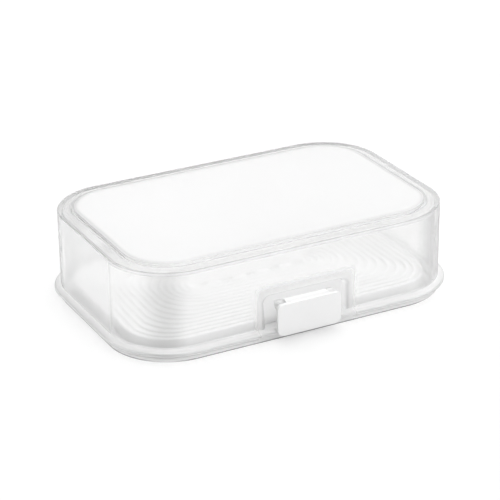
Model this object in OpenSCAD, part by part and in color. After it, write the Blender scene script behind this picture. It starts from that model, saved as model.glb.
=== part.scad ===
// Travel soap box: a shallow tray with a flared lip, a ridged drain insert, a clear hinged lid
// with a raised top panel, and a small front latch. Millimetres, +Z up, the front faces -Y.
// The origin is on the resting plane, under the centre of the lid's outline.

/* [Lid] */
// Length of the lid outside its walls
lid_length = 105; // [96:1:125]
// Width of the lid outside its walls, front to back
lid_width = 68.3; // [62:0.1:80]
// Plan radius of the lid's outer corners
lid_corner = 18.3; // [15:0.1:24]
// Thickness of the lid's walls and top
lid_wall = 1.4; // [1:0.1:1.8]
// Height of the ledge round the lid's top, above the table
ledge_height = 27.3; // [22:0.1:36]
// Width of the ledge, from the wall's face to the foot of the panel
ledge_width = 4; // [3:0.05:5]
// Rise of the top panel above the ledge
panel_rise = 0.9; // [0.6:0.1:2]
// Reach of the curve between the ledge and the flat of the panel
shoulder_reach = 2.4; // [1.5:0.1:3]
// Radius of the ledge's outer edge
rim_round = 0.45; // [0.2:0.05:0.8]

/* [Tray] */
// Height of the face that the lid stands on
seat_height = 4.1; // [3.8:0.1:6]
// Thickness of the tray's floor
floor_thickness = 1.4; // [1:0.1:1.7]
// How far the flared lip reaches past the lid's wall
lip_reach = 1.9; // [1.5:0.1:3]
// Thickness of the lip at its edge
lip_thickness = 0.9; // [0.7:0.1:1.1]
// How far the lip's edge lies below the seat
lip_drop = 0.7; // [0.3:0.1:1]
// Width of the seat inside the lid's outer face
seat_width = 1.7; // [1.4:0.1:2.2]
// Radius of the tray's bottom edge
foot_round = 0.4; // [0.2:0.05:0.7]

/* [Drain insert] */
// Distance from the lid's outer face to the insert's edge
insert_inset = 4.5; // [4.3:0.1:6]
// Height of the insert's deck above the table
deck_height = 4.7; // [4.3:0.1:6]
// Thickness of the insert's deck
deck_thickness = 1.2; // [1:0.1:1.5]
// Thickness of the insert's skirt
skirt_thickness = 1.2; // [1:0.1:1.6]
// Distance from one ridge to the next
ridge_pitch = 2.1; // [1.8:0.1:3]
// Height of a ridge above the deck
ridge_height = 0.55; // [0.3:0.05:0.7]
// Radius of the inner ridges' corners
ridge_corner = 10; // [4:0.5:12]
// Number of drain slots along the middle of the deck
slot_count = 5; // [3:1:6]
// Length of one drain slot
slot_length = 4; // [3:0.5:6]
// Width of one drain slot
slot_width = 1; // [0.8:0.1:2]

/* [Latch] */
// Width of the latch's tab
latch_width = 20.4; // [16:0.1:24]
// Height of the tab's lower edge above the table
latch_bottom = 1.7; // [1.2:0.1:2]
// Height of the tab's upper edge above the table
latch_top = 11.4; // [11:0.1:13]
// Thickness of the tab
latch_thickness = 1.1; // [0.9:0.1:1.4]
// How far the tab stands in front of the lid's wall
latch_proud = 2.2; // [2:0.1:2.6]
// Radius of the tab's lower corners
latch_round = 2.1; // [1:0.1:3]
// Space beside the tab in its pocket
pocket_margin = 2.8; // [1.5:0.1:4]
// Radius of the latch's trunnions
trunnion_radius = 0.85; // [0.6:0.05:0.95]
// Radius of the barrel and the ears round the trunnions
barrel_radius = 1.6; // [1.5:0.05:1.7]

/* [Hinge] */
// Distance between the two hinges
hinge_spacing = 50; // [40:1:54]
// Distance from the lid's back face to the hinge axis
hinge_reach = 2.9; // [2.7:0.1:3.4]
// Radius of the knuckles
knuckle_radius = 2.1; // [1.8:0.1:2.3]
// Width of the lid's knuckle
knuckle_width = 7; // [5:0.5:8]
// Width of each of the tray's lugs
lug_width = 3; // [2:0.5:3.5]
// Radius of the steel hinge pins
pin_radius = 0.9; // [0.6:0.05:1]

/* [Hidden] */
$fn = 64;

pin_clearance = 0.04;    // between a pin and its bore
side_clearance = 0.25;   // between faces that slide past each other
swing_clearance = 0.3;   // round a part that turns in a notch
snap_clearance = 0.1;    // between the latch's snap bead and the lip's edge
joint_overlap = 0.5;     // how far fused shapes run into each other
arc_steps = 6;           // straight steps in a quarter of a drawn curve

half_width = lid_width / 2;
panel_height = ledge_height + panel_rise;
panel_inset = ledge_width + shoulder_reach;
lip_height = seat_height - lip_drop;
foot_offset = 0.1;       // the tray's foot just clears the lid's outline

hinge_y = half_width + hinge_reach;
hinge_z = seat_height;
hinge_places = [-hinge_spacing / 2, hinge_spacing / 2];
lug_start = knuckle_width / 2 + side_clearance;
pin_length = 2 * (lug_start + lug_width);
knuckle_web = 1.7;       // thickness of the arm between the lid's wall and its knuckle
lug_web = 1.6;           // thickness of the arm between the tray and its lug

tab_front = -half_width - latch_proud;
tab_back = tab_front + latch_thickness;
latch_y = tab_back + barrel_radius + side_clearance;
latch_z = latch_top - 1.4;
pocket_back = latch_y + barrel_radius + swing_clearance;
pocket_wall = 1.1;
pocket_half = latch_width / 2 + pocket_margin;
pocket_top = latch_z + norm([tab_front - latch_y, latch_top - latch_z]) + swing_clearance;
pocket_round = 2;
ear_width = 2;
barrel_half = latch_width / 2 - 3.5;
bay_half = latch_width / 2 + 2 * side_clearance;
catch_y = tab_back + 4 * snap_clearance;
snap_reach = 3 * snap_clearance;

ridge_radius = ridge_height;
ridge_first = insert_inset + ridge_radius;
ridge_count = floor((half_width - ridge_first - slot_width) / ridge_pitch) + 1;
deck_round = 0.5;        // curve on the insert's upper edge
rib_width = 1;           // the tray's locating rib, inside the insert's skirt
rib_height = 1.2;
slot_pitch = 2 * slot_length;

// Points on a quarter of an ellipse about a centre, from angle a to angle b
function curve(cx, cy, rx, ry, a, b) =
    [for (i = [0:arc_steps]) let (t = a + (b - a) * i / arc_steps) [cx + rx * cos(t), cy + ry * sin(t)]];

// A rectangle with round corners, drawn inset from the lid's outline
module outline(inset, least_corner = 1) {
    r = max(lid_corner - inset, least_corner);
    x = lid_length / 2 - inset;
    y = half_width - inset;
    union() {
        square([2 * x, 2 * (y - r)], center = true);
        square([2 * (x - r), 2 * y], center = true);
        for (i = [-1, 1], j = [-1, 1])
            translate([i * (x - r), j * (y - r)]) circle(r);
    }
}

// Sweeps a profile round the lid's outline: x is the distance out from the wall's face, y is height
module around(inset = 0, least_corner = 1) {
    r = max(lid_corner - inset, least_corner);
    x = lid_length / 2 - inset - r;
    y = half_width - inset - r;
    for (turn = [0:3]) {
        across = turn % 2 == 0 ? x : y;
        along = turn % 2 == 0 ? y : x;
        rotate(90 * turn) translate([across, along, 0]) {
            rotate_extrude(angle = 90) translate([r, 0]) children();
            rotate([90, 0, 0]) linear_extrude(2 * along) translate([r, 0]) children();
        }
    }
}

// A profile in the Y-Z plane, extruded along X between two places
module along_x(from, to) {
    translate([from, 0, 0]) rotate([90, 0, 90]) linear_extrude(to - from) children();
}

// A shape drawn in the X-Z plane, extruded along Y between two places
module along_y(from, to) {
    translate([0, to, 0]) rotate([90, 0, 0]) linear_extrude(to - from) children();
}

// A rectangle in the X-Z plane whose corners have their own radii, below and above
module tab_face(half, low, high, r_low, r_high) {
    union() {
        translate([-half, low + r_low]) square([2 * half, high - low - r_low - r_high]);
        translate([-half + r_low, low]) square([2 * (half - r_low), high - low - r_high]);
        translate([-half + r_high, low + r_low]) square([2 * (half - r_high), high - low - r_low]);
        for (i = [-1, 1]) {
            translate([i * (half - r_low), low + r_low]) circle(r_low);
            translate([i * (half - r_high), high - r_high]) circle(r_high);
        }
    }
}

// The tray's side: a foot, a hollow flare up to the thin lip, and the seat for the lid
module tray_profile() {
    lip_under = lip_height - lip_thickness;
    polygon(concat(
        [[-seat_width - 1.5, 0]],
        curve(foot_offset - foot_round, foot_round, foot_round, foot_round, -90, 0),
        curve(lip_reach, foot_round, lip_reach - foot_offset, lip_under - foot_round, 180, 105),
        curve(lip_reach - lip_thickness / 2, lip_height - lip_thickness / 2,
              lip_thickness / 2, lip_thickness / 2, -60, 75),
        [[0, seat_height], [-seat_width, seat_height]],
        [[-seat_width - 0.3, floor_thickness], [-seat_width - 1.5, floor_thickness]]
    ));
}

module tray_lugs() {
    for (place = hinge_places, side = [-1, 1]) {
        inner = place + side * lug_start;
        outer = place + side * (lug_start + lug_width);
        difference() {
            along_x(min(inner, outer), max(inner, outer)) union() {
                translate([hinge_y, hinge_z]) circle(knuckle_radius);
                translate([half_width - joint_overlap, hinge_z - lug_web])
                    square([hinge_reach + joint_overlap, lug_web]);
            }
            along_x(place - pin_length, place + pin_length)
                translate([hinge_y, hinge_z]) circle(pin_radius + pin_clearance);
        }
    }
}

module tray() {
    color("aliceblue") union() {
        difference() {
            union() {
                around() tray_profile();
                linear_extrude(floor_thickness) outline(seat_width + 1);
                around(insert_inset + skirt_thickness + side_clearance)
                    translate([-rib_width, floor_thickness - joint_overlap])
                        square([rib_width, rib_height + joint_overlap]);
                // A sill that closes the latch pocket from below
                translate([-pocket_half - pocket_wall, -half_width + joint_overlap, seat_height - lid_wall])
                    cube([2 * (pocket_half + pocket_wall),
                          pocket_back + pocket_wall + half_width - joint_overlap, lid_wall]);
            }
            // The bay in the lip for the latch's tab
            translate([-bay_half, tab_front - lip_reach, -1])
                cube([2 * bay_half, catch_y - tab_front + lip_reach, seat_height + 2]);
            // Room in the lip for the lid's knuckles
            for (place = hinge_places)
                along_x(place - lug_start, place + lug_start)
                    translate([hinge_y, hinge_z]) circle(knuckle_radius + swing_clearance);
        }
        tray_lugs();
    }
}

module drain_insert() {
    color("white") difference() {
        union() {
            linear_extrude(deck_height) outline(insert_inset + deck_round);
            around(insert_inset) polygon(concat(
                [[-deck_round - 1, 0], [0, 0]],
                curve(-deck_round, deck_height - deck_round, deck_round, deck_round, 0, 90),
                [[-deck_round - 1, deck_height]]
            ));
            for (i = [0:ridge_count - 1])
                around(ridge_first + i * ridge_pitch,
                       min(ridge_corner, half_width - ridge_first - i * ridge_pitch - ridge_radius))
                    translate([0, deck_height]) circle(ridge_radius, $fn = 24);
        }
        // The hollow below the deck, with the skirt left round it
        translate([0, 0, -1])
            linear_extrude(deck_height - deck_thickness + 1) outline(insert_inset + skirt_thickness);
        // The skirt stands on the tray's floor
        translate([-lid_length, -lid_width, -1])
            cube([2 * lid_length, 2 * lid_width, floor_thickness + 1]);
        for (i = [0:slot_count - 1])
            translate([(i - (slot_count - 1) / 2) * slot_pitch, 0, 0]) linear_extrude(panel_height) union() {
                square([slot_length - slot_width, slot_width], center = true);
                for (side = [-1, 1])
                    translate([side * (slot_length - slot_width) / 2, 0]) circle(slot_width / 2);
            }
    }
}

// The lid's wall, ledge and shoulder in section, with the same thickness all the way
module lid_profile() {
    inner_ledge = ledge_height - lid_wall;
    inner_foot = ledge_width + lid_wall * 0.9;
    inner_shoulder = shoulder_reach - lid_wall * 0.4;
    polygon(concat(
        [[-lid_wall, seat_height], [0, seat_height]],
        curve(-rim_round, ledge_height - rim_round, rim_round, rim_round, 0, 90),
        curve(-panel_inset, ledge_height, shoulder_reach, panel_rise, 0, 90),
        [[-panel_inset - 1.5, panel_height], [-panel_inset - 1.5, panel_height - lid_wall]],
        curve(-inner_foot - inner_shoulder, inner_ledge, inner_shoulder, panel_rise, 90, 0),
        [[-lid_wall, inner_ledge]]
    ));
}

// The hollow box behind the latch, and the ears that hold it
module latch_housing() {
    along_y(-half_width, pocket_back + pocket_wall)
        tab_face(pocket_half + pocket_wall, seat_height, pocket_top + pocket_wall,
                 0.01, pocket_round + pocket_wall);
}

module latch_ears() {
    for (side = [-1, 1]) {
        inner = side * (barrel_half + side_clearance);
        outer = side * (barrel_half + side_clearance + ear_width);
        along_x(min(inner, outer), max(inner, outer)) difference() {
            union() {
                translate([latch_y, latch_z]) circle(barrel_radius);
                translate([latch_y, latch_z - 1]) square([pocket_back - latch_y + joint_overlap, 2]);
            }
            translate([latch_y, latch_z]) circle(trunnion_radius + pin_clearance);
        }
    }
}

module lid_knuckles() {
    for (place = hinge_places)
        along_x(place - knuckle_width / 2, place + knuckle_width / 2) difference() {
            union() {
                translate([hinge_y, hinge_z]) circle(knuckle_radius);
                translate([half_width - joint_overlap, hinge_z + side_clearance / 2])
                    square([hinge_reach + joint_overlap, knuckle_web]);
            }
            translate([hinge_y, hinge_z]) circle(pin_radius + pin_clearance);
        }
}

module lid() {
    color("whitesmoke") union() {
        difference() {
            union() {
                around() lid_profile();
                translate([0, 0, panel_height - lid_wall]) linear_extrude(lid_wall) outline(panel_inset + 1);
                latch_housing();
            }
            along_y(-half_width - 1, pocket_back)
                tab_face(pocket_half, seat_height - 1, pocket_top, 0.01, pocket_round);
        }
        latch_ears();
        lid_knuckles();
    }
}

module latch() {
    color("gainsboro") union() {
        along_y(tab_front, tab_back)
            tab_face(latch_width / 2, latch_bottom, latch_top, latch_round, latch_round * 0.75);
        // The barrel, its web and the trunnions that turn in the lid's ears
        along_x(-barrel_half, barrel_half) union() {
            translate([latch_y, latch_z]) circle(barrel_radius);
            translate([tab_back - latch_thickness / 2, latch_z - 1])
                square([latch_y - tab_back + latch_thickness / 2, 2]);
        }
        along_x(-barrel_half - side_clearance - ear_width, barrel_half + side_clearance + ear_width)
            translate([latch_y, latch_z]) circle(trunnion_radius);
        // The bead that snaps in under the tray's lip
        along_x(-latch_width / 2 + latch_round, latch_width / 2 - latch_round)
            polygon([[tab_back - 0.2, latch_bottom + 0.2], [tab_back, latch_bottom + 0.2],
                     [tab_back + snap_reach, latch_bottom + 0.7], [tab_back + snap_reach, latch_bottom + 1],
                     [tab_back, latch_bottom + 1.4], [tab_back - 0.2, latch_bottom + 1.4]]);
    }
}

module hinge_pin(place) {
    color("silver") translate([place - pin_length / 2, hinge_y, hinge_z])
        rotate([0, 90, 0]) cylinder(h = pin_length, r = pin_radius);
}

tray();
drain_insert();
lid();
latch();
hinge_pin(hinge_places[0]);  // hinge_pin_left
hinge_pin(hinge_places[1]);  // hinge_pin_right
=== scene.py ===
# %% [markdown]
# # A travel soap box in clear and milky plastic
# The box has four moulded pieces: a shallow tray with a flared lip, a ridged insert that keeps
# the soap out of the water, a clear lid on two hinges, and a small milky latch at the front.
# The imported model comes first, as a fixed frame. Every piece below is drawn where that frame
# says, in millimetres while it is being shaped, and in metres once it is finished.

# %% Load the frame
import math
import bmesh
import bpy
from mathutils import Matrix, Vector


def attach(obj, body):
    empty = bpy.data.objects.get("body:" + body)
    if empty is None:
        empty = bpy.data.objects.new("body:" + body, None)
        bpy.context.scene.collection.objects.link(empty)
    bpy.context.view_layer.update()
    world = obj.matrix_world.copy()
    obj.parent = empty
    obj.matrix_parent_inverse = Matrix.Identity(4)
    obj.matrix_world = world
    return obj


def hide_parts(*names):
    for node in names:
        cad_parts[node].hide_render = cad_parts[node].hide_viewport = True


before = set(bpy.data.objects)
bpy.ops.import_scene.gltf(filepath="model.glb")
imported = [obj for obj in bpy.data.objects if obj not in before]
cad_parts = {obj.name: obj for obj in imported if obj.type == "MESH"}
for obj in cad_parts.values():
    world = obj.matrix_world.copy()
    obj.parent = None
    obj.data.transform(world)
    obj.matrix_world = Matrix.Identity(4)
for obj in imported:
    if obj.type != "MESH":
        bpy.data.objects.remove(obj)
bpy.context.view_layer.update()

scene = bpy.context.scene
scene.view_settings.view_transform = "Standard"
print("nodes", sorted(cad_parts))

# %% [markdown]
# ## Camera
# The photograph looks at the box from the front left and from above, through a long lens, as
# product pictures do. A long lens far away keeps the long sides nearly parallel. The camera
# could be aimed with a constraint, but its angles were fitted to the photograph, so they go
# straight into its matrix. The box sits a little below the middle of the picture. That comes
# from tilting the camera up by a degree, not from a lens shift, so other views stay centred.

# %% Camera
AZIMUTH, ELEVATION, ROLL = math.radians(-27.546), math.radians(25.453), math.radians(-0.678)
DISTANCE = 0.59415
LENS, SENSOR = 143.51, 36
TILT_UP = math.radians(1.058)
NEAREST, FARTHEST = 0.01, 20

back = Vector((math.sin(AZIMUTH) * math.cos(ELEVATION), -math.cos(AZIMUTH) * math.cos(ELEVATION),
               math.sin(ELEVATION)))
right = Vector((math.cos(AZIMUTH), math.sin(AZIMUTH), 0))
axes = Matrix((right, back.cross(right), back)).transposed()
turned = axes @ Matrix.Rotation(ROLL, 3, "Z") @ Matrix.Rotation(TILT_UP, 3, "X")
camera_data = bpy.data.cameras.new("camera")
camera_data.lens, camera_data.sensor_width = LENS, SENSOR
camera_data.clip_start, camera_data.clip_end = NEAREST, FARTHEST
camera = bpy.data.objects.new("camera", camera_data)
camera.matrix_world = Matrix.Translation(back * DISTANCE) @ turned.to_4x4()
scene.collection.objects.link(camera)
scene.camera = camera
print("camera at", [round(c, 4) for c in camera.location])

# %% [markdown]
# ## Colours and nodes
# Colours are picked on a screen as sRGB hex values, while a shader works in linear light, so
# one function turns the first into the second. A second small function adds a node, sets its
# options and fills its sockets, either with a value or with a link from another node. A Mix
# node has one set of sockets for numbers and one for colours, so both sets get names here.

# %% Colour and node helpers
NUMBER_A, NUMBER_B = 2, 3
COLOUR_A, COLOUR_B, MIXED_COLOUR = 6, 7, 2


def linear(hex_colour):
    """An sRGB hex value as the linear RGBA that a shader takes."""
    channels = [int(hex_colour[i:i + 2], 16) / 255 for i in (1, 3, 5)]
    return [c / 12.92 if c <= 0.04045 else ((c + 0.055) / 1.055) ** 2.4 for c in channels] + [1]


def add(tree, kind, inputs=None, **settings):
    """Adds a shader node with its settings, and fills its sockets with values or links."""
    made = tree.nodes.new("ShaderNode" + kind)
    for name, value in settings.items():
        setattr(made, name, value)
    for socket, value in (inputs or {}).items():
        if isinstance(value, bpy.types.NodeSocket):
            tree.links.new(value, made.inputs[socket])
        else:
            made.inputs[socket].default_value = value
    return made


def new_material(name):
    """An empty node material and its tree."""
    material = bpy.data.materials.new(name)
    material.use_nodes = True
    material.node_tree.nodes.clear()
    return material, material.node_tree


print("mid grey in linear light", [round(c, 3) for c in linear("#808080")[:3]])

# %% [markdown]
# ## Light and background
# The photograph was taken on a white sweep in a white room, with a large soft light high behind
# the box. Clear plastic has hardly any colour of its own, so its shape only shows where it
# bends or mirrors something darker. That is why a room that is white all round would make the
# box vanish, and why this one falls off smoothly on the far left and a little at the back left.
# Dark cards beside the box could do that too, but they would show in views from other sides.

# %% World
WORLD_LEVEL = 1.19


def dimmed(tree, toward, direction, start, end, level):
    """A world level of 1 that falls smoothly to a lower one round a direction."""
    along = add(tree, "VectorMath", {0: toward, 1: direction}, operation="DOT_PRODUCT")
    return add(tree, "MapRange", {
        "Value": along.outputs["Value"], "From Min": start, "From Max": end, "To Min": 1,
        "To Max": level}, interpolation_type="SMOOTHSTEP").outputs[0]


world = bpy.data.worlds.new("white_studio")
scene.world = world
world.use_nodes = True
tree = world.node_tree
tree.nodes.clear()
toward = add(tree, "TexCoord").outputs["Generated"]
left = dimmed(tree, toward, direction=(-0.97, -0.24, 0), start=0.15, end=0.8, level=0.15)
back_left = dimmed(tree, toward, direction=(-0.35, 0.94, 0), start=0.55, end=0.9, level=0.35)
sides = add(tree, "Math", {0: left, 1: back_left}, operation="MULTIPLY")
path = add(tree, "LightPath")
seen = add(tree, "Math", {0: path.outputs["Is Glossy Ray"], 1: path.outputs["Is Transmission Ray"]},
           operation="MAXIMUM")
white = add(tree, "Mix", {"Factor": seen.outputs[0], NUMBER_A: WORLD_LEVEL, NUMBER_B: 1.0},
            data_type="FLOAT")
studio = add(tree, "Math", {0: sides.outputs[0], 1: white.outputs[0]}, operation="MULTIPLY")
level = add(tree, "Mix", {"Factor": path.outputs["Is Camera Ray"], NUMBER_A: studio.outputs[0],
                          NUMBER_B: 1.0}, data_type="FLOAT")
sky = add(tree, "Background", {"Color": linear("#ffffff"), "Strength": level.outputs[0]})
add(tree, "OutputWorld", {"Surface": sky.outputs[0]})
print("world level for matt surfaces", WORLD_LEVEL)

# %% Lamp
BOX_MIDDLE = (0, 0, 0.012)


def soft_lamp(name, place, size, power):
    """A square area lamp that faces the middle of the box."""
    data = bpy.data.lights.new(name, "AREA")
    data.shape, data.size, data.energy = "SQUARE", size, power
    lamp = bpy.data.objects.new(name, data)
    lamp.location = place
    lamp.rotation_mode = "QUATERNION"
    lamp.rotation_quaternion = (Vector(place) - Vector(BOX_MIDDLE)).to_track_quat("Z", "Y")
    scene.collection.objects.link(lamp)
    print(name, "power", power)


soft_lamp("high_back", place=(0.1, 0.5, 1.2), size=1.3, power=4.9)

# %% [markdown]
# ## Floor
# The white sweep is matt paper, with fibres drawn about 1 mm wide. It glows a little where the
# eye sees it, straight or through the plastic, so it stays white. The rest of its brightness
# comes from the light that falls on it, so the box keeps its soft contact shadow. A floor that
# only glowed would stay white more easily, but without that shadow the box would float.

# %% Floor
FLOOR_SIZE = 6
FLOOR_GLOW = 0.16
PAPER_DARK, PAPER_LIGHT = 0.86, 0.88

bm = bmesh.new()
bmesh.ops.create_grid(bm, x_segments=1, y_segments=1, size=FLOOR_SIZE / 2)
floor_mesh = bpy.data.meshes.new("floor")
bm.to_mesh(floor_mesh)
bm.free()
floor = bpy.data.objects.new("floor", floor_mesh)
scene.collection.objects.link(floor)
floor_paint, tree = new_material("matt_white_paper_sweep")
path = add(tree, "LightPath")
seen = path.outputs["Is Camera Ray"]
for way in ("Is Glossy Ray", "Is Transmission Ray"):
    seen = add(tree, "Math", {0: seen, 1: path.outputs[way]}, operation="MAXIMUM").outputs[0]
unlit = add(tree, "Math", {0: path.outputs["Diffuse Depth"], 1: 0.5}, operation="LESS_THAN")
seen = add(tree, "Math", {0: seen, 1: unlit.outputs[0]}, operation="MULTIPLY")
glow = add(tree, "Math", {0: seen.outputs[0], 1: FLOOR_GLOW}, operation="MULTIPLY")
place = add(tree, "TexCoord").outputs["Object"]
fibres = add(tree, "TexNoise", {"Vector": place, "Scale": 900, "Detail": 3})
tone = add(tree, "MapRange", {"Value": fibres.outputs["Fac"], "To Min": PAPER_DARK,
                              "To Max": PAPER_LIGHT})
paper = add(tree, "BsdfDiffuse", {"Color": tone.outputs[0], "Roughness": 0.6})
light = add(tree, "Emission", {"Color": linear("#ffffff"), "Strength": glow.outputs[0]})
both = add(tree, "AddShader", {0: paper.outputs[0], 1: light.outputs[0]})
add(tree, "OutputMaterial", {"Surface": both.outputs[0]})
floor_mesh.materials.append(floor_paint)
print("floor", FLOOR_SIZE, "m wide")

# %% [markdown]
# ## Clear plastic
# The lid and the tray are injection-moulded clear polypropylene, with a refractive index of
# 1.5. Plain glass would look too clean for it: fine crystals in it scatter some light, more
# along a longer way through it. So it is drawn as glass mixed with a little milk, and with more
# milk where the surface tilts away. What lies close behind a wall stays sharp, and the rest
# turns soft.
#
# The raised panel and the latch's pocket have a fine spark-eroded frost, which hides more of
# what is behind. They are found by place, since nothing else is that high or that far forward.
# The pocket's frost fades out over a few millimetres round its mouth.

# %% Frosted places, in mm
MM = 0.001
PANEL_FROST = (27.6, 28.1)
FADE_BESIDE, FADE_BEHIND, FADE_ABOVE = (13.8, 17.0), (-30.8, -29.2), (14.8, 18.0)


def frosted(tree, place):
    """How far a point lies in the panel's frost and in the latch pocket's, each from 0 to 1."""
    across, depth, height = add(tree, "SeparateXYZ", {0: place}).outputs
    panel = add(tree, "MapRange", {
        "Value": height, "From Min": PANEL_FROST[0] * MM, "From Max": PANEL_FROST[1] * MM},
        interpolation_type="SMOOTHSTEP").outputs[0]
    inside = add(tree, "Math", {0: across}, operation="ABSOLUTE").outputs[0]
    fades = [add(tree, "MapRange", {
        "Value": distance, "From Min": full * MM, "From Max": gone * MM, "To Min": 1,
        "To Max": 0}, interpolation_type=kind).outputs[0] for distance, (full, gone), kind in (
            (inside, FADE_BESIDE, "SMOOTHSTEP"), (depth, FADE_BEHIND, "LINEAR"),
            (height, FADE_ABOVE, "SMOOTHSTEP"))]
    pocket = add(tree, "Math", {0: fades[0], 1: fades[1]}, operation="MULTIPLY").outputs[0]
    pocket = add(tree, "Math", {0: pocket, 1: fades[2]}, operation="MULTIPLY").outputs[0]
    return panel, pocket


print("panel frosted from", PANEL_FROST[0], "mm up")

# %% [markdown]
# The greys of the clear plastic are painted shade. A grey set by height paints shade on the ledge,
# on the rim and at the foot of the shoulder, and a dark contact shadow along the tray's foot,
# where it meets the table. The round corners and the walls seen edge-on get painted shade too.
# An absorbing volume would give a grey of its own, but it is noisy and slow.

# %% Painted shade by height, in the corners and on edge-on walls
TONE_SPAN = 30
# Painted shade on the round corners, placed by where the surface faces.
CORNER_FACING, CORNER_REACH, CORNER_PAINTED_SHADE = 0.47, 0.4, "#e4e4e4"
# Painted shade where a wall is seen edge-on.
EDGE_ON, EDGE_ON_PAINTED_SHADE = (0.65, 0.95), "#cacaca"


def painted_shade_grey(tree, coordinates, facing, painted_shade_tones):
    """Painted shade: a grey by height in mm, in the round corners, and where the eye looks along a
    wall.
    """
    height = add(tree, "SeparateXYZ", {0: coordinates.outputs["Object"]}).outputs[2]
    share = add(tree, "MapRange", {"Value": height, "From Min": 0, "From Max": TONE_SPAN * MM})
    shade_by_height = add(tree, "ValToRGB", {0: share.outputs[0]})
    stops = shade_by_height.color_ramp.elements
    stops[0].color, stops[1].color = linear(painted_shade_tones[0][1]), linear(painted_shade_tones[-1][1])
    for spot, tone in painted_shade_tones[1:]:
        stops.new(spot / TONE_SPAN).color = linear(tone)
    # The corner mask for the painted shade: strongest where the surface faces half way between X
    # and Y.
    normal_x = add(tree, "SeparateXYZ", {0: coordinates.outputs["Normal"]}).outputs[0]
    outward = add(tree, "Math", {0: normal_x}, operation="ABSOLUTE")
    offset = add(tree, "Math", {0: outward.outputs[0], 1: CORNER_FACING}, operation="SUBTRACT")
    away = add(tree, "Math", {0: offset.outputs[0]}, operation="ABSOLUTE")
    corner = add(tree, "MapRange", {
        "Value": away.outputs[0], "From Min": 0, "From Max": CORNER_REACH, "To Min": 1,
        "To Max": 0}, interpolation_type="SMOOTHSTEP")
    grey = add(tree, "Mix", {"Factor": corner.outputs[0], COLOUR_A: shade_by_height.outputs[0],
                             COLOUR_B: linear(CORNER_PAINTED_SHADE)}, data_type="RGBA")
    # Painted shade where the eye looks along a wall.
    edge_on_shade = add(tree, "MapRange", {"Value": facing, "From Min": EDGE_ON[0],
                                     "From Max": EDGE_ON[1]})
    grey = add(tree, "Mix", {
        "Factor": edge_on_shade.outputs[0], COLOUR_A: grey.outputs[MIXED_COLOUR],
        COLOUR_B: linear(EDGE_ON_PAINTED_SHADE)}, data_type="RGBA")
    return grey.outputs[MIXED_COLOUR]


print("greys by height up to", TONE_SPAN, "mm")

# %% [markdown]
# The glass and the milk come together here. Half of the milk is lit from behind, as thin milky
# plastic is. Light that only passes on its way to the soap goes straight through, because bent
# light would need very many samples to reach the inside.

# %% Clear plastic
GLOSS, MATT = (0.09, 0.13), 0.42
HAZE_IN_POCKET, HAZE_ON_PANEL = 0.7, 0.85
BACKLIT, BACKLIT_IN_POCKET = 0.5, 0.85


def clear_plastic(name, clearest, haziest, tilts, shade, painted_shade_tones):
    """Clear plastic, hazier where it tilts away, with frosted places and painted shade in its
    colour.
    """
    material, tree = new_material(name)
    coordinates = add(tree, "TexCoord")
    place = coordinates.outputs["Object"]
    facing = add(tree, "LayerWeight", {"Blend": 0.5}).outputs["Facing"]
    panel, pocket = frosted(tree, place)
    # Flow marks about 12 mm wide, and a frost whose grains are drawn 0.4 mm wide so that they show
    flow = add(tree, "TexNoise", {"Vector": place, "Scale": 80, "Detail": 2}).outputs["Fac"]
    grit = add(tree, "TexNoise", {"Vector": place, "Scale": 2500, "Detail": 2}).outputs["Fac"]
    gloss = add(tree, "MapRange", {"Value": flow, "To Min": GLOSS[0], "To Max": GLOSS[1]})
    matt = add(tree, "Math", {0: panel, 1: pocket}, operation="MAXIMUM")
    rough = add(tree, "Mix", {"Factor": matt.outputs[0], NUMBER_A: gloss.outputs[0],
                              NUMBER_B: MATT}, data_type="FLOAT")
    uneven = add(tree, "Mix", {"Factor": panel, NUMBER_A: flow, NUMBER_B: grit},
                 data_type="FLOAT")
    bump = add(tree, "Bump", {"Strength": 0.08, "Distance": 0.2 * MM, "Height": uneven.outputs[0]})
    haze = add(tree, "MapRange", {"Value": facing, "From Min": tilts[0], "From Max": tilts[1],
                                  "To Min": clearest, "To Max": haziest})
    for where, most in ((pocket, HAZE_IN_POCKET), (panel, HAZE_ON_PANEL)):
        haze = add(tree, "Mix", {"Factor": where, NUMBER_A: haze.outputs[0], NUMBER_B: most},
                   data_type="FLOAT")
    # The painted shade goes into the colour of the glass and of the milk.
    grey = painted_shade_grey(tree, coordinates, facing, painted_shade_tones)
    glass = add(tree, "BsdfPrincipled", {
        "Base Color": grey, "IOR": 1.5, "Roughness": rough.outputs[0], "Transmission Weight": 1,
        "Normal": bump.outputs[0]})
    milk = add(tree, "BsdfDiffuse", {"Color": grey})
    milk_from_behind = add(tree, "BsdfTranslucent", {"Color": grey})
    backlit = add(tree, "Mix", {"Factor": pocket, NUMBER_A: BACKLIT,
                                NUMBER_B: BACKLIT_IN_POCKET}, data_type="FLOAT")
    milk = add(tree, "MixShader", {0: backlit.outputs[0], 1: milk.outputs[0],
                                   2: milk_from_behind.outputs[0]})
    body = add(tree, "MixShader", {0: haze.outputs[0], 1: glass.outputs[0], 2: milk.outputs[0]})
    path = add(tree, "LightPath")
    passing = add(tree, "Math", {0: path.outputs["Is Shadow Ray"],
                                 1: path.outputs["Is Diffuse Ray"]}, operation="MAXIMUM")
    clear = add(tree, "BsdfTransparent", {"Color": linear(shade)})
    both = add(tree, "MixShader", {0: passing.outputs[0], 1: body.outputs[0], 2: clear.outputs[0]})
    add(tree, "OutputMaterial", {"Surface": both.outputs[0]})
    print(name, "is ready")
    return material


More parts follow.
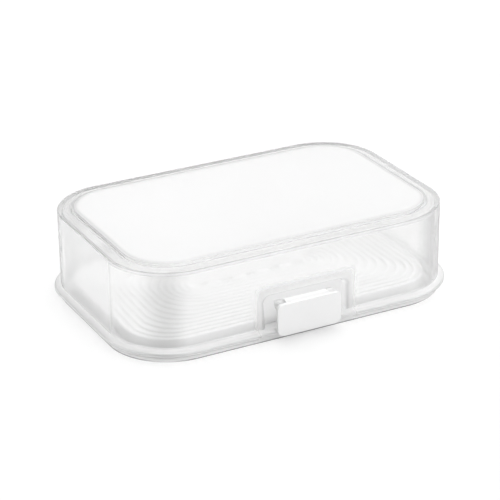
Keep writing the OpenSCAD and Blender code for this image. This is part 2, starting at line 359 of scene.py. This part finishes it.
# The lid's greys by height: near-white plastic, painted shade on the ledge and rim, and the darkest
# painted shade at the foot of the shoulder.
lid_plastic = clear_plastic(
    "clear_polypropylene_lid_moulding", clearest=0.12, haziest=0.5, tilts=(0.45, 1),
    shade="#fdfdfd", painted_shade_tones=(
        (0, "#fcfcfc"), (26.4, "#fcfcfc"), (27.0, "#f6f6f6"), (27.3, "#eeeeee"),
        (27.45, "#dedede"), (28.0, "#ececec"), (28.15, "#fafafa")))
# The tray's greys by height: a dark painted contact shadow along the bottom of the foot, up to
# about 0.6 mm, and near-white plastic above.
tray_plastic = clear_plastic(
    "clear_polypropylene_tray_moulding", clearest=0.45, haziest=0.9, tilts=(0.3, 0.65),
    shade="#fafafa", painted_shade_tones=(
        (0, "#f6f6f6"), (0.05, "#707070"), (0.4, "#909090"), (0.6, "#f2f2f2"), (4.1, "#fcfcfc")))

# %% [markdown]
# ## Milky plastic
# The insert and the latch are natural polypropylene, which is milky because light scatters
# among its small crystals. Plain white paint would look hard beside the clear walls, so
# subsurface scattering gives the plastic its soft body. The moulded skin is satin on the insert
# and nearly matt on the latch. Its grain is drawn about 0.6 mm wide so that it shows, and faint
# clouds in the plastic are some 17 mm wide in the insert and 8 mm in the latch.

# %% Milky plastic
def milky_plastic(name, grain, clouds, roughness, relief, scatter, radius):
    """Milky polypropylene: a fine moulded grain, faint clouds, and light spread inside it."""
    material, tree = new_material(name)
    place = add(tree, "TexCoord").outputs["Object"]
    grit = add(tree, "TexNoise", {"Vector": place, "Scale": grain, "Detail": 3}).outputs["Fac"]
    cloud = add(tree, "TexNoise", {"Vector": place, "Scale": clouds, "Detail": 2}).outputs["Fac"]
    tone = add(tree, "Mix", {"Factor": cloud, COLOUR_A: linear("#f9f9f9"),
                             COLOUR_B: linear("#fcfcfc")}, data_type="RGBA")
    rough = add(tree, "MapRange", {"Value": grit, "To Min": roughness[0], "To Max": roughness[1]})
    bump = add(tree, "Bump", {"Strength": relief, "Distance": 0.1 * MM, "Height": grit})
    shader = add(tree, "BsdfPrincipled", {
        "Base Color": tone.outputs[MIXED_COLOUR], "IOR": 1.49, "Roughness": rough.outputs[0],
        "Subsurface Weight": scatter, "Subsurface Radius": (radius * MM,) * 3,
        "Subsurface Scale": 1, "Normal": bump.outputs[0]})
    add(tree, "OutputMaterial", {"Surface": shader.outputs[0]})
    print(name, "is ready")
    return material


insert_plastic = milky_plastic(
    "milky_polypropylene_satin_moulding", grain=1800, clouds=60, roughness=(0.3, 0.42),
    relief=0.1, scatter=0.7, radius=2)
latch_plastic = milky_plastic(
    "milky_polypropylene_matt_moulding", grain=1600, clouds=120, roughness=(0.4, 0.55),
    relief=0.12, scatter=0.2, radius=1)

# %% [markdown]
# ## Steel
# The hinge pins are drawn stainless wire. Drawing leaves fine lines along the wire, so the
# noise is stretched along X, into lines about 0.25 mm apart and 17 mm long. An anisotropic
# shine could only hint at them.

# %% Steel
LINES_ALONG, LINES_ACROSS = 60, 4000

pin_steel, tree = new_material("drawn_stainless_wire")
place = add(tree, "TexCoord").outputs["Object"]
along = add(tree, "Mapping", {"Vector": place, "Scale": (LINES_ALONG, LINES_ACROSS, LINES_ACROSS)})
lines = add(tree, "TexNoise", {"Vector": along.outputs[0], "Scale": 1, "Detail": 3})
rough = add(tree, "MapRange", {"Value": lines.outputs["Fac"], "To Min": 0.2, "To Max": 0.38})
bump = add(tree, "Bump", {"Strength": 0.15, "Distance": 0.05 * MM, "Height": lines.outputs["Fac"]})
shader = add(tree, "BsdfPrincipled", {
    "Base Color": linear("#c8c8c6"), "Metallic": 1, "Roughness": rough.outputs[0],
    "Normal": bump.outputs[0]})
add(tree, "OutputMaterial", {"Surface": shader.outputs[0]})
print(pin_steel.name, "is ready")

# %% [markdown]
# ## Sweeping a section round the box
# The lid, the tray and the insert share one plan: a rectangle with large round corners. They
# could be cut from rounded blocks, but then each wall would need its own pair of blocks. So each
# is drawn as a section, a short run of corners given by distance in from the lid's wall and by
# height. The corners are rounded with a bevel, the section is spun round one corner of the plan,
# its ends are drawn out to the middle planes, and two mirrors finish the ring. Where a ring is
# so far in that its own corner can't get tighter, it slides in along the diagonal.

# %% Plan of the box, in mm
HALF_LENGTH, HALF_WIDTH, CORNER = 52.5, 34.15, 18.3
TIGHTEST_CORNER = 1.4
MERGE = 1e-4


def round_off(bm, edges_or_corners, radius, steps, affect="EDGES"):
    """Rounds edges or corners with the settings that the editor's own bevel starts from."""
    bmesh.ops.bevel(bm, geom=edges_or_corners, offset=radius, offset_type="OFFSET",
                    segments=steps, profile=0.5, affect=affect, material=-1)


def follow(start):
    """The vertices of a run of edges, in order from one end."""
    run, came_by = [start], None
    while True:
        onward = [e for e in run[-1].link_edges if e is not came_by]
        if not onward:
            return run
        came_by = onward[0]
        run.append(came_by.other_vert(run[-1]))


def tight_corner(inset):
    """How far a ring's corner slides in where the plan's corner is used up."""
    return max(inset + TIGHTEST_CORNER - CORNER, 0)


print("plan", 2 * HALF_LENGTH, "by", 2 * HALF_WIDTH, "mm, corners", CORNER, "mm")

# %% Sweep
def sweep(section, slide=tight_corner, turn_steps=32, round_steps=4):
    """Sweeps (inset, height, rounding) corners round the plan, and closes the ends with a face."""
    bm = bmesh.new()
    ring = bm.verts.layers.int.new("ring")
    corners = [bm.verts.new((inset, 0, height)) for inset, height, _ in section]
    first_corner = corners[0]
    for pair in zip(corners, corners[1:]):
        bm.edges.new(pair)
    for corner, (_, _, rounding) in zip(corners, section):
        if rounding:
            round_off(bm, [corner], rounding, round_steps, affect="VERTICES")
    run = follow(first_corner)
    insets = [v.co.x for v in run]
    for number, v in enumerate(run):
        v[ring] = number
        v.co.x = HALF_LENGTH - insets[number] + slide(insets[number])
        v.co.y = HALF_WIDTH - CORNER
    first = bm.edges[:]
    spun = bmesh.ops.spin(bm, geom=bm.verts[:] + bm.edges[:], axis=(0, 0, 1), angle=math.pi / 2,
                          cent=(HALF_LENGTH - CORNER, HALF_WIDTH - CORNER, 0), steps=turn_steps)
    last = [e for e in spun["geom_last"] if isinstance(e, bmesh.types.BMEdge)]
    for v in bm.verts:
        inward = slide(insets[v[ring]])
        v.co -= Vector((inward, inward, 0))
    for edges, axis in ((first, 1), (last, 0)):
        drawn = bmesh.ops.extrude_edge_only(bm, edges=edges)
        for v in drawn["geom"]:
            if isinstance(v, bmesh.types.BMVert):
                v.co[axis] = 0
    for axis in "XY":
        bmesh.ops.mirror(bm, geom=bm.verts[:] + bm.edges[:] + bm.faces[:], axis=axis,
                         merge_dist=MERGE)
    bmesh.ops.holes_fill(bm, edges=[e for e in bm.edges if e.is_boundary], sides=0)
    bmesh.ops.recalc_face_normals(bm, faces=bm.faces)
    print("swept", len(run), "points into", len(bm.faces), "faces")
    return bm


# %% [markdown]
# ## Blocks, rods and eyes
# The small parts of a moulding, such as its hinge knuckles and the ears of the latch, are round
# eyes on a web. They could be drawn as outlines and extruded, but a rod joined to a block and
# drilled is simpler. Joining and cutting is left to the Boolean modifier, because bmesh has no
# such operator.

# %% Blocks and rods
def block(low, high, rounding=None, steps=6):
    """A box between two corners. Rounding gives radii for its "low" and "high" edges along Y."""
    bm = bmesh.new()
    low, high = Vector(low), Vector(high)
    bmesh.ops.create_cube(bm, size=1)
    bmesh.ops.scale(bm, vec=high - low, verts=bm.verts)
    bmesh.ops.translate(bm, vec=(low + high) / 2, verts=bm.verts)
    for end, radius in (rounding or {}).items():
        height = {"low": low.z, "high": high.z}[end]
        edges = [e for e in bm.edges if abs(e.verts[0].co.y - e.verts[1].co.y) > MERGE
                 and all(abs(v.co.z - height) < MERGE for v in e.verts)]
        round_off(bm, edges, radius, steps)
    return bm


def rod(radius, start, end, y, z, segments=48):
    """A round rod along X."""
    bm = bmesh.new()
    bmesh.ops.create_cone(bm, cap_ends=True, segments=segments, radius1=radius, radius2=radius,
                          depth=end - start)
    bmesh.ops.rotate(bm, cent=(0, 0, 0), matrix=Matrix.Rotation(math.pi / 2, 3, "Y"),
                     verts=bm.verts)
    bmesh.ops.translate(bm, vec=((start + end) / 2, y, z), verts=bm.verts)
    return bm


print("points closer than", MERGE, "mm are merged")

# %% Joining and cutting
def to_object(bm, name):
    """Puts a bmesh in the scene."""
    mesh = bpy.data.meshes.new(name)
    bm.to_mesh(mesh)
    bm.free()
    made = bpy.data.objects.new(name, mesh)
    scene.collection.objects.link(made)
    return made


def combine(base, tool, operation):
    """Joins a tool to a bmesh, or cuts it out, and gives back the result."""
    first, second = to_object(base, "base"), to_object(tool, "tool")
    change = first.modifiers.new("combine", "BOOLEAN")
    change.object, change.operation, change.solver = second, operation, "EXACT"
    result = bmesh.new()
    result.from_object(first, bpy.context.evaluated_depsgraph_get())
    for used in (first, second):
        mesh = used.data
        bpy.data.objects.remove(used)
        bpy.data.meshes.remove(mesh)
    return result


def eye(radius, bore, span, centre, web_low, web_high):
    """A bored eye along X, on a web of the same width between two (y, z) corners."""
    start, end = span
    made = combine(rod(radius, start, end, *centre), block((start, *web_low), (end, *web_high)),
                   "UNION")
    made = combine(made, rod(bore, start - 1, end + 1, *centre), "DIFFERENCE")
    print("eye from", round(start, 2), "to", round(end, 2), "mm, bore", round(2 * bore, 2), "mm")
    return made


# %% [markdown]
# ## Finishing a piece
# A moulded edge is never quite sharp, so each piece gets small rounds from a Bevel modifier.
# Rounding every edge with bmesh instead would fail where the booleans leave slivers. Weighted
# normals keep the flat faces flat. The same function says which body the piece moves with,
# which solid it stands for, and whose finish it has.

# %% Finishing a piece
def finish_piece(bm, name, material, body, replaced, edge=0.15, sharp=30):
    """Turns a bmesh in mm into a piece in metres, with small rounds on its edges."""
    bmesh.ops.remove_doubles(bm, verts=bm.verts, dist=MERGE)
    bmesh.ops.dissolve_degenerate(bm, edges=bm.edges, dist=MERGE)
    bmesh.ops.recalc_face_normals(bm, faces=bm.faces)
    bmesh.ops.scale(bm, vec=(MM, MM, MM), verts=bm.verts)
    open_edges = sum(1 for e in bm.edges if len(e.link_faces) != 2)
    volume = bm.calc_volume(signed=True) / MM ** 3
    piece = to_object(bm, name)
    for face in piece.data.polygons:
        face.use_smooth = True
    piece.data.materials.append(material)
    rounds = piece.modifiers.new("moulded_edges", "BEVEL")
    rounds.limit_method, rounds.angle_limit = "ANGLE", math.radians(sharp)
    rounds.width, rounds.segments, rounds.profile = edge * MM, 2, 0.5
    weighted = piece.modifiers.new("flat_faces", "WEIGHTED_NORMAL")
    weighted.mode, weighted.weight, weighted.keep_sharp = "FACE_AREA", 50, False
    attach(piece, body)
    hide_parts(replaced)
    print(f"{name}: {len(piece.data.polygons)} faces, {volume:.0f} mm3, open edges {open_edges}")


# %% [markdown]
# ## Lid
# The lid is one clear moulding. From its rim the wall goes straight up to a narrow ledge, and
# inside the ledge the panel rises on a soft shoulder. The inner skin follows at 1.4 mm. A
# Solidify modifier could make that skin, but it would thin out at the shoulder, so the section
# draws both skins. The flat panel in the middle is left to the face that closes the sweep.

# %% Lid shell
SEAT, LEDGE, PANEL = 4.1, 27.3, 28.2
LID_WALL, LEDGE_WIDTH, SHOULDER = 1.4, 4.0, 0.3
PANEL_START, PANEL_FLAT = 5.7, 8.6

lid = sweep([
    (PANEL_FLAT, PANEL, 0), (PANEL_START, PANEL, 1.1), (LEDGE_WIDTH + SHOULDER, 27.62, 0.4),
    (LEDGE_WIDTH - SHOULDER, LEDGE, 0.4), (0, LEDGE, 0.45), (0, SEAT, 0), (LID_WALL, SEAT, 0),
    (LID_WALL, LEDGE - LID_WALL, 0.2), (5.26, LEDGE - LID_WALL, 0), (5.26, 26.25, 0.3),
    (6.3, PANEL - LID_WALL, 0.7), (PANEL_FLAT, PANEL - LID_WALL, 0)])

# %% [markdown]
# The latch turns in a pocket at the front. Its walls stand inside the lid, and two ears in the
# pocket carry the latch's trunnions. The knuckles at the back take the steel pins. The pocket
# is cut out of a block, and the edges of its mouth are found by their place and rounded.

# %% Latch pocket
POCKET_HALF, POCKET_BACK, POCKET_TOP, POCKET_WALL = 13.0, -31.5, 13.565, 1.1
POCKET_ROUND, MOUTH_ROUND = 2.0, 1.8

lid = combine(lid, block(
    (-POCKET_HALF - POCKET_WALL, -HALF_WIDTH + 0.4, SEAT),
    (POCKET_HALF + POCKET_WALL, POCKET_BACK + POCKET_WALL, POCKET_TOP + POCKET_WALL),
    {"high": POCKET_ROUND + POCKET_WALL}), "UNION")
lid = combine(lid, block(
    (-POCKET_HALF, -HALF_WIDTH - 2, SEAT - 2), (POCKET_HALF, POCKET_BACK, POCKET_TOP),
    {"high": POCKET_ROUND}), "DIFFERENCE")
mouth = [e for e in lid.edges if e.calc_face_angle(0) > 0.7 and all(
    abs(v.co.y + HALF_WIDTH) < 0.01 and abs(v.co.x) < POCKET_HALF + 0.01
    and v.co.z < POCKET_TOP + 0.01 for v in e.verts)]
round_off(lid, mouth, MOUTH_ROUND, 6)
print("mouth rounded along", len(mouth), "edges")

# %% Ears and knuckles
LATCH_Y, LATCH_Z = -33.4, 10.0
BARREL, TRUNNION, BORE_GAP = 1.6, 0.85, 0.04
EAR_START, EAR_END = 6.95, 8.95
HINGE_Y, HINGE_Z, KNUCKLE, PIN = 37.05, 4.1, 2.1, 0.9
HINGE_PLACES = (-25, 25)
KNUCKLE_HALF, HINGE_ROOT = 3.5, HALF_WIDTH - 0.5

for side in (-1, 1):
    ear = eye(BARREL, TRUNNION + BORE_GAP, sorted((side * EAR_START, side * EAR_END)),
              (LATCH_Y, LATCH_Z), (LATCH_Y, LATCH_Z - 1), (POCKET_BACK + 0.5, LATCH_Z + 1))
    lid = combine(lid, ear, "UNION")
for middle in HINGE_PLACES:
    knuckle = eye(KNUCKLE, PIN + BORE_GAP, (middle - KNUCKLE_HALF, middle + KNUCKLE_HALF),
                  (HINGE_Y, HINGE_Z), (HINGE_ROOT, HINGE_Z + 0.125), (HINGE_Y, HINGE_Z + 1.825))
    lid = combine(lid, knuckle, "UNION")
finish_piece(lid, "clear_lid", lid_plastic, "lid", "lid")

# %% [markdown]
# ## Tray
# The tray is a shallow dish. Its foot is a little smaller than its lip, which flares out past
# the lid and ends in a round nose. The lid stands on the seat behind the lip, and a low rib on
# the floor keeps the insert in its place. All of that is one section again, so the lip stays
# the same all round. The hinge lugs are eyes like the lid's knuckles, on either side of them.

# %% Tray
FLOOR_TOP, LIP_REACH, LIP_TOP, LIP_UNDER = 1.4, 1.9, 3.4, 2.5
RIB_OUTER, RIB_INNER, RIB_TOP, FLOOR_FLAT = 5.95, 6.95, 2.6, 9.0
TAB_FRONT, TAB_BACK, NOTCH_HALF = -36.35, -35.25, 10.7
LUG_START, LUG_END = 3.75, 6.75

tray = sweep([
    (FLOOR_FLAT, 0, 0), (-0.1, 0, 0.4), (-0.1, LIP_UNDER, 1.35), (-LIP_REACH, LIP_UNDER, 0.42),
    (-LIP_REACH, LIP_TOP, 0.42), (0, SEAT, 0), (1.7, SEAT, 0), (2.0, FLOOR_TOP, 0.3),
    (RIB_OUTER, FLOOR_TOP, 0), (RIB_OUTER, RIB_TOP, 0.2), (RIB_INNER, RIB_TOP, 0.2),
    (RIB_INNER, FLOOR_TOP, 0), (FLOOR_FLAT, FLOOR_TOP, 0)])
tray = combine(tray, block(
    (-POCKET_HALF - POCKET_WALL, -HALF_WIDTH + 0.5, SEAT - LID_WALL),
    (POCKET_HALF + POCKET_WALL, POCKET_BACK + POCKET_WALL, SEAT)), "UNION")
tray = combine(tray, block(
    (-NOTCH_HALF, TAB_FRONT - 3, -1), (NOTCH_HALF, TAB_BACK + 0.4, SEAT + 1)), "DIFFERENCE")
for middle in HINGE_PLACES:
    tray = combine(tray, rod(KNUCKLE + 0.3, middle - LUG_START, middle + LUG_START,
                             HINGE_Y, HINGE_Z), "DIFFERENCE")
    for side in (-1, 1):
        lug = eye(KNUCKLE, PIN + BORE_GAP,
                  sorted((middle + side * LUG_START, middle + side * LUG_END)),
                  (HINGE_Y, HINGE_Z), (HINGE_ROOT, HINGE_Z - 1.6), (HINGE_Y, HINGE_Z))
        tray = combine(tray, lug, "UNION")
finish_piece(tray, "clear_tray", tray_plastic, "base", "tray")

# %% [markdown]
# ## Drain insert
# The insert's ridges run round it in rings, 2.1 mm apart, so that a wet bar of soap touches
# little and the water runs off to the slots in the middle. They could be a bump in the
# material, but their shadows and outlines show through the wall, so they are shaped. Each ridge
# is two corners of the section with a large rounding, and all the rings come from the one
# sweep. The inner rings keep a corner of 10 mm, so that they stay round up to the middle.

# %% Drain insert
INSERT_INSET, DECK, DECK_UNDER, SKIRT = 4.5, 4.7, 3.5, 1.2
RIDGE_COUNT, RIDGE_PITCH, RIDGE, RIDGE_CORNER = 14, 2.1, 0.55, 10


def crest_at(number):
    """How far in from the lid's wall the crest of a ridge lies."""
    return INSERT_INSET + RIDGE + number * RIDGE_PITCH


def ridge_slide(inset):
    """How far a ridge slides in to keep its corner of 10 mm, or what fits."""
    nearest = round((inset - INSERT_INSET - RIDGE) / RIDGE_PITCH)
    crest = crest_at(min(max(nearest, 0), RIDGE_COUNT - 1))
    return max(min(RIDGE_CORNER, HALF_WIDTH - crest - RIDGE) + crest - CORNER, 0)


section = [(7.5, DECK_UNDER, 0), (INSERT_INSET + SKIRT, DECK_UNDER, 0.3),
           (INSERT_INSET + SKIRT, FLOOR_TOP, 0), (INSERT_INSET, FLOOR_TOP, 0)]
for number in range(RIDGE_COUNT):
    crest = crest_at(number)
    if number:
        section.append((crest - RIDGE, DECK, 0))
    section += [(crest - RIDGE, DECK + RIDGE, 0.5), (crest + RIDGE, DECK + RIDGE, 0.5),
                (crest + RIDGE, DECK, 0)]
insert = sweep(section, slide=ridge_slide, turn_steps=12, round_steps=3)

# %% Drain slots
SLOT_COUNT, SLOT_PITCH, SLOT_LENGTH, SLOT_WIDTH, SLOT_CUT = 5, 8, 4, 1.0, 4

for number in range(SLOT_COUNT):
    middle = (number - (SLOT_COUNT - 1) / 2) * SLOT_PITCH
    slot = bmesh.new()
    bmesh.ops.create_cube(slot, size=1)
    bmesh.ops.scale(slot, vec=(SLOT_LENGTH, SLOT_WIDTH, SLOT_CUT), verts=slot.verts)
    upright = [e for e in slot.edges if abs(e.verts[0].co.z - e.verts[1].co.z) > 1]
    round_off(slot, upright, SLOT_WIDTH / 2 - 0.01, 6)
    bmesh.ops.translate(slot, vec=(middle, 0, DECK), verts=slot.verts)
    insert = combine(insert, slot, "DIFFERENCE")
finish_piece(insert, "ridged_drain_insert", insert_plastic, "insert", "drain_insert",
             edge=0.1, sharp=50)

# %% [markdown]
# ## Latch
# The latch is a small flat tab with round corners, a barrel behind it that turns between the
# ears, and a bead low on its back that snaps under the tray's lip. It could be swept as well,
# but no long part of it keeps one section, so it is joined from blocks and rods.

# %% Latch
LATCH_HALF, LATCH_LOW, LATCH_HIGH = 10.2, 1.7, 11.4
BARREL_HALF, BEAD_HALF = 6.7, 8.1

latch = block((-LATCH_HALF, TAB_FRONT, LATCH_LOW), (LATCH_HALF, TAB_BACK, LATCH_HIGH),
              {"low": 2.1, "high": 1.575}, 8)
latch = combine(latch, rod(BARREL, -BARREL_HALF, BARREL_HALF, LATCH_Y, LATCH_Z), "UNION")
latch = combine(latch, block((-BARREL_HALF, TAB_BACK - 0.5, LATCH_Z - 1),
                             (BARREL_HALF, LATCH_Y, LATCH_Z + 1)), "UNION")
latch = combine(latch, rod(TRUNNION, -EAR_END, EAR_END, LATCH_Y, LATCH_Z), "UNION")
bead = block((-BEAD_HALF, TAB_BACK - 0.2, LATCH_LOW + 0.2),
             (BEAD_HALF, TAB_BACK + 0.3, LATCH_LOW + 1.4))
round_off(bead, [e for e in bead.edges if all(v.co.y > TAB_BACK for v in e.verts)], 0.28, 3)
latch = combine(latch, bead, "UNION")
finish_piece(latch, "snap_latch", latch_plastic, "latch", "latch")

# %% [markdown]
# ## Hinge pins
# The pins are plain wire. They could be drawn again, but their CAD shape is right already, so
# they stay and only get the steel.

# %% Hinge pins
for name in ("hinge_pin_left", "hinge_pin_right"):
    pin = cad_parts[name]
    pin.data.materials.clear()
    pin.data.materials.append(pin_steel)
print("pins are steel")
